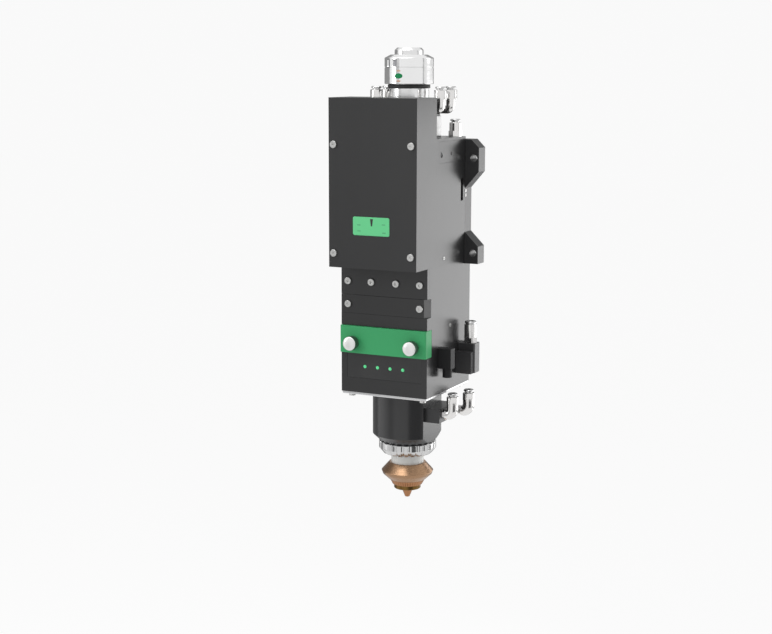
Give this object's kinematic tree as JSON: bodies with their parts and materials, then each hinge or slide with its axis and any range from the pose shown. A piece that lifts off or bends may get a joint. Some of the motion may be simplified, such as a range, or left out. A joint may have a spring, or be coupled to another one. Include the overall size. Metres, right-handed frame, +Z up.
{
  "type": "laser cutting head",
  "caption": "Laser cutting head: dark rectangular housing with a fibre lock collar on top, a green window drawer, side gas and water fittings and a copper nozzle below.",
  "frame": {"origin": "middle of the four mounting holes, on the back face of the mounting plate", "axes": "+Z up, along the beam and away from the nozzle; -Y towards the front of the cover; +Y out of the back; +X to the side that carries the gas and water blocks"},
  "size_m": [0.1151, 0.1199, 0.4097],
  "materials": {
    "dark_housing": "dark anodised, satin",
    "black_plate": "black anodised, satin",
    "steel_screws": "satin",
    "green_plate": "satin",
    "silver_receiver": "machined",
    "black_seal": "matte",
    "steel_collar": "turned",
    "nickel_fitting": "nickel plated",
    "steel_ring": "satin",
    "inner_frame": "black anodised",
    "lens_glass": "polished, coated",
    "steel_rod": "ground",
    "motor_case": "satin",
    "bronze_nut": "turned",
    "green_drawer": "satin",
    "white_knob": "satin",
    "lamp_panel": "matte",
    "lamp_green": "clear green",
    "silver_base": "machined",
    "grey_sensor": "dark anodised, satin",
    "silver_lock": "turned",
    "white_ceramic": "matte",
    "copper_holder": "turned copper",
    "copper_nozzle": "turned copper"
  },
  "bodies": {
    "head": {"mounting_plate": "black_plate", "plate_screws": "steel_screws", "main_housing": "dark_housing", "side_panel": "dark_housing", "front_cover": "dark_housing", "cover_screws": "steel_screws", "scale_plate": "green_plate", "fibre_receiver": "silver_receiver", "receiver_seal": "black_seal", "water_manifold": "black_plate", "top_fittings": "nickel_fitting", "collimator_cell": "inner_frame", "collimating_lens": "lens_glass", "fixed_retainers": "inner_frame", "guide_rods": "steel_rod", "focus_motor": "motor_case", "motor_bracket": "inner_frame", "screw_foot": "inner_frame", "screw_bearing": "steel_rod", "lower_housing": "dark_housing", "upper_panel": "dark_housing", "upper_window_drawer": "dark_housing", "upper_window": "lens_glass", "front_screws": "steel_screws", "lamp_panel": "lamp_panel", "status_lamps": "lamp_green", "base_plate": "silver_base", "base_screws": "steel_screws", "sensor_body": "grey_sensor", "port_block": "black_plate", "elbow_stems": "nickel_fitting", "ceramic_body": "white_ceramic", "nozzle_holder": "copper_holder", "signal_block": "black_plate", "gas_block": "black_plate", "gas_fitting": "nickel_fitting"},
    "collar": {"lock_collar": "steel_collar"},
    "focus_slide": {"lens_carriage": "inner_frame", "focus_lens": "lens_glass", "focus_retainer": "inner_frame", "drive_nut": "bronze_nut"},
    "focus_screw": {"lead_screw": "steel_rod"},
    "window_drawer": {"drawer_front": "green_drawer", "drawer_tray": "inner_frame", "protective_window": "lens_glass", "window_retainer": "inner_frame"},
    "left_knob": {"thumbscrew_left": "white_knob"},
    "right_knob": {"thumbscrew_right": "white_knob"},
    "grip_ring": {"lock_ring": "silver_lock"},
    "cutting_nozzle": {"nozzle": "copper_nozzle"},
    "front_elbow": {"elbow_front": "nickel_fitting"},
    "rear_elbow": {"elbow_rear": "nickel_fitting"},
    "water_ring_1": {"water_release_1": "steel_ring"},
    "water_ring_2": {"water_release_2": "steel_ring"},
    "water_ring_3": {"water_release_3": "steel_ring"},
    "water_ring_4": {"water_release_4": "steel_ring"},
    "purge_ring": {"purge_release": "steel_ring"},
    "gas_ring": {"gas_release": "steel_ring"},
    "front_elbow_ring": {"elbow_release_front": "steel_ring"},
    "rear_elbow_ring": {"elbow_release_rear": "steel_ring"}
  },
  "joints": [
    {"name": "collar_turn", "type": "hinge", "parent": "head", "child": "collar", "pos_m": [0, -0.0452, 0.12], "axis": [0, 0, 1], "range_deg": [0, 50]},
    {"name": "focus_travel", "type": "slide", "parent": "head", "child": "focus_slide", "axis": [0, 0, 1], "range_m": [-0.012, 0.012]},
    {"name": "focus_screw_turn", "type": "hinge", "parent": "head", "child": "focus_screw", "pos_m": [0, -0.097, 0], "axis": [0, 0, 1], "range_deg": [-1085, 1085]},
    {"name": "drawer_pull", "type": "slide", "parent": "head", "child": "window_drawer", "axis": [0, -1, 0], "range_m": [0, 0.07]},
    {"name": "left_knob_turn", "type": "hinge", "parent": "window_drawer", "child": "left_knob", "pos_m": [-0.0293, -0.1, -0.118], "axis": [0, -1, 0], "range_deg": [0, 2520]},
    {"name": "right_knob_turn", "type": "hinge", "parent": "window_drawer", "child": "right_knob", "pos_m": [0.0293, -0.1, -0.118], "axis": [0, -1, 0], "range_deg": [0, 2520]},
    {"name": "grip_ring_turn", "type": "hinge", "parent": "head", "child": "grip_ring", "pos_m": [0, -0.0452, -0.219], "axis": [0, 0, -1], "range_deg": [0, 960]},
    {"name": "nozzle_turn", "type": "hinge", "parent": "head", "child": "cutting_nozzle", "pos_m": [0, -0.0452, -0.255], "axis": [0, 0, -1], "range_deg": [0, 2880]},
    {"name": "front_elbow_swivel", "type": "hinge", "parent": "head", "child": "front_elbow", "pos_m": [0.045, -0.0538, -0.185], "axis": [1, 0, 0], "range_deg": [0, 180]},
    {"name": "rear_elbow_swivel", "type": "hinge", "parent": "head", "child": "rear_elbow", "pos_m": [0.045, -0.0318, -0.185], "axis": [1, 0, 0], "range_deg": [-180, 0]},
    {"name": "water_ring_1_press", "type": "slide", "parent": "head", "child": "water_ring_1", "axis": [0, 0, -1], "range_m": [0, 0.0012], "stiffness_N_per_m": 400, "springref_m": -0.0002},
    {"name": "water_ring_2_press", "type": "slide", "parent": "head", "child": "water_ring_2", "axis": [0, 0, -1], "range_m": [0, 0.0012], "stiffness_N_per_m": 400, "springref_m": -0.0002},
    {"name": "water_ring_3_press", "type": "slide", "parent": "head", "child": "water_ring_3", "axis": [0, 0, -1], "range_m": [0, 0.0012], "stiffness_N_per_m": 400, "springref_m": -0.0002},
    {"name": "water_ring_4_press", "type": "slide", "parent": "head", "child": "water_ring_4", "axis": [0, 0, -1], "range_m": [0, 0.0012], "stiffness_N_per_m": 400, "springref_m": -0.0002},
    {"name": "purge_ring_press", "type": "slide", "parent": "head", "child": "purge_ring", "axis": [0, 0, -1], "range_m": [0, 0.0012], "stiffness_N_per_m": 400, "springref_m": -0.0002},
    {"name": "gas_ring_press", "type": "slide", "parent": "head", "child": "gas_ring", "axis": [0, 0, -1], "range_m": [0, 0.0012], "stiffness_N_per_m": 400, "springref_m": -0.0002},
    {"name": "front_elbow_ring_press", "type": "slide", "parent": "front_elbow", "child": "front_elbow_ring", "axis": [0, 0, -1], "range_m": [0, 0.0012], "stiffness_N_per_m": 400, "springref_m": -0.0002},
    {"name": "rear_elbow_ring_press", "type": "slide", "parent": "rear_elbow", "child": "rear_elbow_ring", "axis": [0, 0, -1], "range_m": [0, 0.0012], "stiffness_N_per_m": 400, "springref_m": -0.0002}
  ],
  "couplings": [
    {"joint": "focus_screw_turn", "follows": "focus_travel", "rad_per_m": -1570.8}
  ]
}
